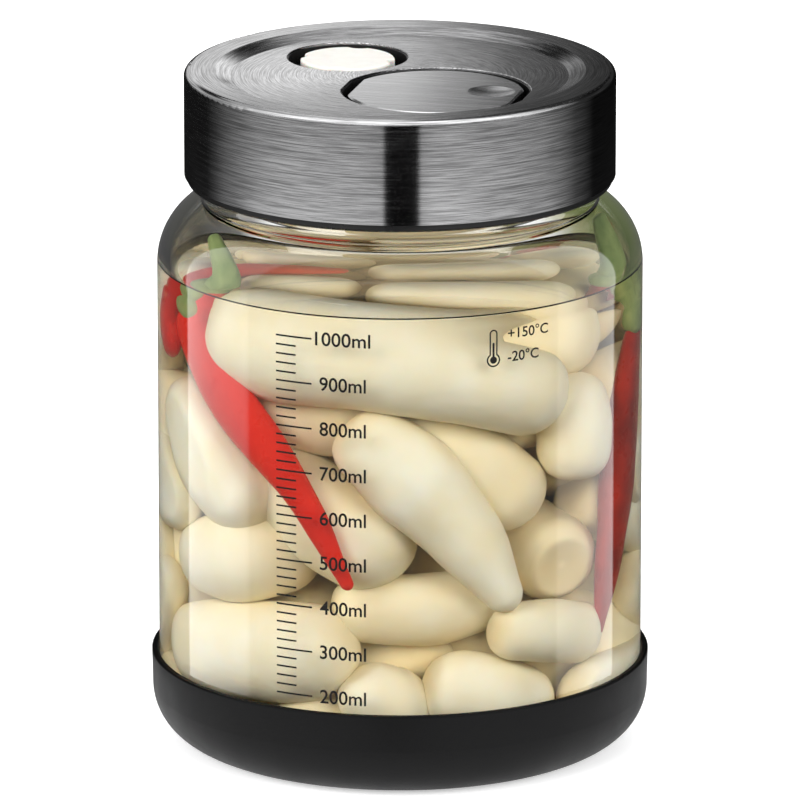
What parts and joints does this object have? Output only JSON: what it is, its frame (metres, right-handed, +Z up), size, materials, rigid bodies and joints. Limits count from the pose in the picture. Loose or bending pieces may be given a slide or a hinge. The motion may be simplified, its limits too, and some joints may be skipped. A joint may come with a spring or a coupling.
{
  "type": "glass storage jar",
  "caption": "Round glass storage jar of pickled vegetables in brine, with a steel screw lid, vent valve, tipping flap and silicone base sleeve.",
  "frame": {"origin": "middle of the sleeve's flat underside", "axes": "+Z up along the jar's axis, -Y the front with the volume scale"},
  "size_m": [0.1186, 0.1186, 0.163],
  "materials": {
    "sleeve_silicone": "matt silicone",
    "jar_glass": "clear",
    "brine": "cloudy pale brine with pickled vegetables",
    "lid_steel": "brushed round the axis",
    "lid_plastic": "satin black",
    "valve_silicone": "white silicone",
    "pin_steel": "ground",
    "flap_steel": "brushed in straight lines"
  },
  "bodies": {
    "jar": {"base_sleeve": "sleeve_silicone", "glass_jar": "jar_glass", "brine": "brine", "lid_shell": "lid_steel", "lid_liner": "lid_plastic", "valve_cap": "valve_silicone", "flap_pin": "pin_steel"},
    "flap": {"flap_core": "lid_plastic", "flap_plate": "flap_steel"}
  },
  "joints": [
    {"name": "flap_tilt", "type": "hinge", "parent": "jar", "child": "flap", "pos_m": [0.00842, -0.01488, 0.1578], "axis": [0.2351, 0.972, 0], "range_deg": [0, 30]}
  ]
}
